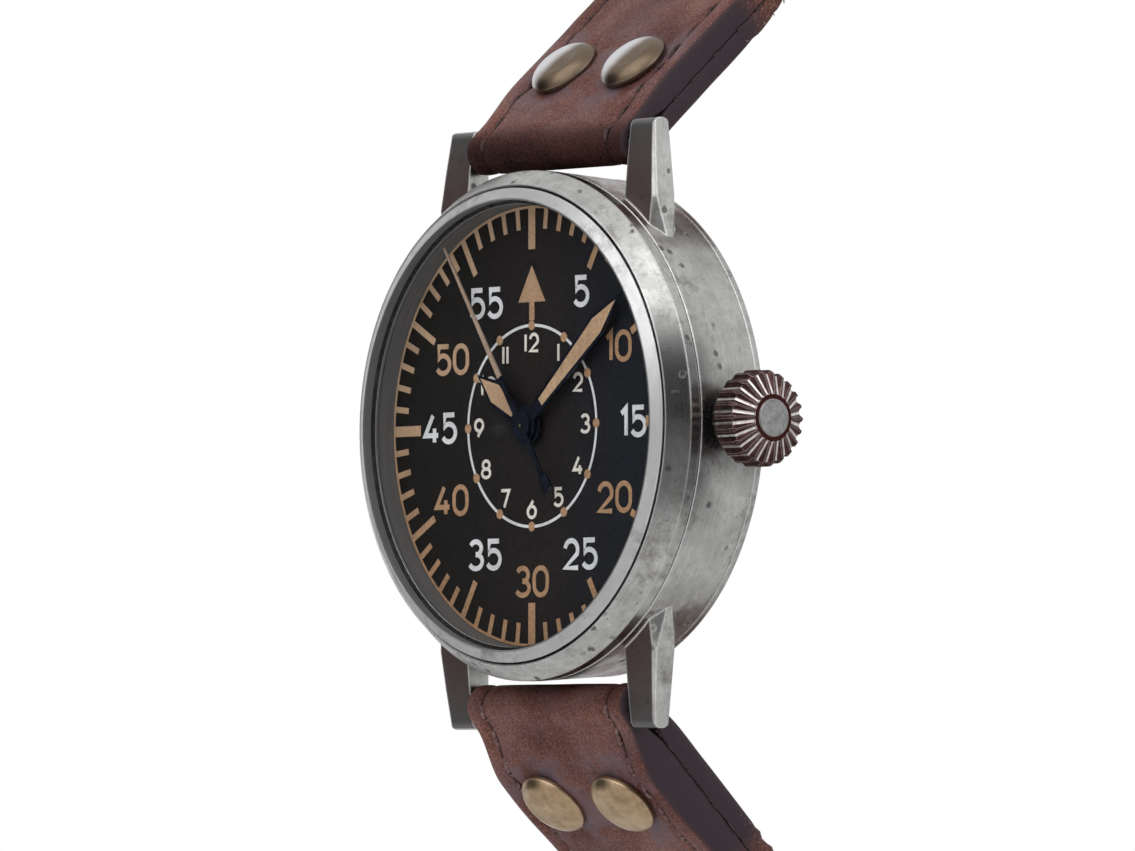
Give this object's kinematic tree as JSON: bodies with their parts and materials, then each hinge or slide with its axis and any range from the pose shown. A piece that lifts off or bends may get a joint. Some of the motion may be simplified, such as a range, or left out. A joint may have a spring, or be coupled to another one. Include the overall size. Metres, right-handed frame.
{
  "type": "pilot watch",
  "caption": "Hand-wound pilot watch: round steel case, black dial with large numerals, fluted crown and a two-piece riveted leather strap with buckle.",
  "frame": {"origin": "centre of the case back's flat outer face", "axes": "+Z to 12 o'clock, +X to 3 o'clock and the crown, the dial faces -Y and the case back faces +Y"},
  "size_m": [0.0471, 0.1049, 0.1167],
  "materials": {
    "brushed_case_steel": "satin steel, aged, with small dark pits",
    "polished_ring_steel": "polished steel",
    "crown_steel": "worn steel with brown grime in the flutes",
    "crystal_glass": "clear, slightly domed",
    "flange_black": "dark satin wall",
    "dial_black": "matte black with printed scales",
    "hand_black": "black lacquer",
    "lume_tan": "aged luminous filling",
    "seal_rubber": "black rubber",
    "movement_brass": "gilt brass, fine grain",
    "movement_steel": "fine brushed steel",
    "polished_screw_steel": "polished steel",
    "jewel_red": "red synthetic ruby",
    "strap_leather": "dark reddish-brown waxed leather",
    "lining_leather": "natural brown leather",
    "rivet_brass": "antique brass",
    "buckle_steel": "satin steel"
  },
  "bodies": {
    "watch": {"case_middle": "brushed_case_steel", "case_back": "brushed_case_steel", "case_back_gasket": "seal_rubber", "bezel": "brushed_case_steel", "crystal_ring": "polished_ring_steel", "crystal_gasket": "seal_rubber", "crystal": "crystal_glass", "flange_ring": "flange_black", "dial": "dial_black", "crown_tube": "movement_steel", "movement_ring": "movement_brass", "movement_clamps": "movement_steel", "mainplate": "movement_brass", "barrel_bridge": "movement_brass", "train_bridge": "movement_brass", "balance_cock": "movement_brass", "pallet_bridge": "movement_brass", "movement_screws": "polished_screw_steel", "jewels": "jewel_red", "spring_bars": "movement_steel", "hairspring": "movement_steel"},
    "seconds": {"fourth_wheel": "movement_brass", "second_hand": "hand_black", "second_lume": "lume_tan"},
    "third": {"third_wheel": "movement_brass"},
    "centre": {"centre_wheel": "movement_brass"},
    "mainspring_barrel": {"barrel": "movement_brass", "mainspring": "movement_steel"},
    "escape": {"escape_wheel": "movement_steel"},
    "minutes": {"cannon_pinion": "movement_steel", "minute_hand": "hand_black", "minute_lume": "lume_tan"},
    "hours": {"hour_wheel": "movement_brass", "hour_hand": "hand_black", "hour_lume": "lume_tan"},
    "motion_wheel": {"minute_wheel": "movement_brass"},
    "winding": {"winding_pinion": "movement_steel"},
    "winding_crown_wheel": {"crown_wheel": "movement_steel"},
    "ratchet": {"barrel_arbor": "movement_steel", "ratchet_wheel": "movement_steel"},
    "crown_and_stem": {"winding_stem": "movement_steel", "crown": "crown_steel", "crown_gasket": "seal_rubber"},
    "sliding": {"sliding_pinion": "movement_steel"},
    "lever": {"setting_lever": "movement_steel"},
    "yoke_arm": {"yoke": "movement_steel"},
    "click_arm": {"click": "movement_steel"},
    "pallets": {"pallet_fork": "movement_steel"},
    "balance": {"balance_wheel": "movement_brass"},
    "strap_12": {"strap_12_upper": "strap_leather", "strap_12_lining": "lining_leather", "strap_12_rivets": "rivet_brass", "fixed_keeper": "strap_leather", "buckle_bar": "buckle_steel"},
    "strap_6": {"strap_6_upper": "strap_leather", "strap_6_lining": "lining_leather", "strap_6_rivets": "rivet_brass"},
    "keeper": {"loose_keeper": "strap_leather"},
    "buckle": {"buckle_frame": "buckle_steel"},
    "tongue": {"buckle_tongue": "buckle_steel"}
  },
  "joints": [
    {"name": "seconds_turn", "type": "hinge", "parent": "watch", "child": "seconds", "pos_m": [0, -0.0034, 0], "axis": [0, 1, 0], "continuous": true},
    {"name": "third_turn", "type": "hinge", "parent": "watch", "child": "third", "pos_m": [-0.00398, -0.00382, 0.0023], "axis": [0, 1, 0], "continuous": true},
    {"name": "centre_turn", "type": "hinge", "parent": "watch", "child": "centre", "pos_m": [0, -0.00424, 0], "axis": [0, 1, 0], "continuous": true},
    {"name": "barrel_turn", "type": "hinge", "parent": "watch", "child": "mainspring_barrel", "pos_m": [0.00233, -0.00469, 0.00617], "axis": [0, 1, 0], "continuous": true},
    {"name": "escape_turn", "type": "hinge", "parent": "watch", "child": "escape", "pos_m": [-0.00158, -0.00458, -0.00434], "axis": [0, 1, 0], "continuous": true},
    {"name": "minutes_turn", "type": "hinge", "parent": "watch", "child": "minutes", "pos_m": [0, -0.00715, 0], "axis": [0, 1, 0], "continuous": true},
    {"name": "hours_turn", "type": "hinge", "parent": "watch", "child": "hours", "pos_m": [0, -0.00757, 0], "axis": [0, 1, 0], "continuous": true},
    {"name": "motion_wheel_turn", "type": "hinge", "parent": "watch", "child": "motion_wheel", "pos_m": [-0.002, -0.00715, 0.00346], "axis": [0, 1, 0], "continuous": true},
    {"name": "crown_turn", "type": "hinge", "parent": "watch", "child": "winding", "pos_m": [0.0104, -0.00465, 0], "axis": [1, 0, 0], "continuous": true},
    {"name": "crown_wheel_turn", "type": "hinge", "parent": "watch", "child": "winding_crown_wheel", "pos_m": [0.0081, -0.00195, 0], "axis": [0, 1, 0], "continuous": true},
    {"name": "ratchet_turn", "type": "hinge", "parent": "watch", "child": "ratchet", "pos_m": [0.00233, -0.00195, 0.00617], "axis": [0, 1, 0], "continuous": true},
    {"name": "crown_pull", "type": "slide", "parent": "winding", "child": "crown_and_stem", "axis": [1, 0, 0], "range_m": [0, 0.0009]},
    {"name": "sliding_pinion_shift", "type": "slide", "parent": "winding", "child": "sliding", "axis": [1, 0, 0], "range_m": [-0.0005, 0]},
    {"name": "setting_lever_turn", "type": "hinge", "parent": "watch", "child": "lever", "pos_m": [0.01285, -0.00715, -0.00352], "axis": [0, 1, 0], "range_deg": [0, 17.23]},
    {"name": "yoke_turn", "type": "hinge", "parent": "watch", "child": "yoke_arm", "pos_m": [0.009, -0.00715, -0.0046], "axis": [0, 1, 0], "range_deg": [-8.29, 0]},
    {"name": "click_lift", "type": "hinge", "parent": "watch", "child": "click_arm", "pos_m": [-0.00396, -0.00195, 0.00847], "axis": [0, 1, 0], "range_deg": [0, 12]},
    {"name": "pallet_rock", "type": "hinge", "parent": "watch", "child": "pallets", "pos_m": [-0.00342, -0.00458, -0.00588], "axis": [0, 1, 0], "range_deg": [-5, 5]},
    {"name": "balance_swing", "type": "hinge", "parent": "watch", "child": "balance", "pos_m": [-0.0051, -0.00355, -0.00729], "axis": [0, 1, 0], "range_deg": [-150, 150]},
    {"name": "strap_12_swing", "type": "hinge", "parent": "watch", "child": "strap_12", "pos_m": [0, -0.0056, 0.023], "axis": [1, 0, 0], "range_deg": [-20, 44]},
    {"name": "strap_6_swing", "type": "hinge", "parent": "watch", "child": "strap_6", "pos_m": [0, -0.0056, -0.023], "axis": [1, 0, 0], "range_deg": [-44, 20]},
    {"name": "loose_keeper_slide", "type": "slide", "parent": "strap_12", "child": "keeper", "axis": [0, 0.9883, 0.1523], "range_m": [-0.0027, 0.0037]},
    {"name": "buckle_swing", "type": "hinge", "parent": "strap_12", "child": "buckle", "pos_m": [0, 0.05971, 0.05504], "axis": [1, 0, 0], "range_deg": [-60, 60]},
    {"name": "tongue_lift", "type": "hinge", "parent": "buckle", "child": "tongue", "pos_m": [0, 0.05971, 0.05504], "axis": [1, 0, 0], "range_deg": [0, 60]}
  ],
  "couplings": [
    {"joint": "third_turn", "follows": "seconds_turn", "ratio": -0.13333},
    {"joint": "centre_turn", "follows": "seconds_turn", "ratio": 0.016667},
    {"joint": "barrel_turn", "follows": "seconds_turn", "ratio": -0.002381},
    {"joint": "escape_turn", "follows": "seconds_turn", "ratio": -10},
    {"joint": "motion_wheel_turn", "follows": "minutes_turn", "ratio": -0.33333},
    {"joint": "hours_turn", "follows": "minutes_turn", "ratio": 0.083333},
    {"joint": "crown_wheel_turn", "follows": "crown_turn", "ratio": -0.58333},
    {"joint": "ratchet_turn", "follows": "crown_turn", "ratio": 0.35},
    {"joint": "sliding_pinion_shift", "follows": "crown_pull", "ratio": -0.55556},
    {"joint": "setting_lever_turn", "follows": "crown_pull", "rad_per_m": 334.16},
    {"joint": "yoke_turn", "follows": "crown_pull", "rad_per_m": -160.75}
  ]
}
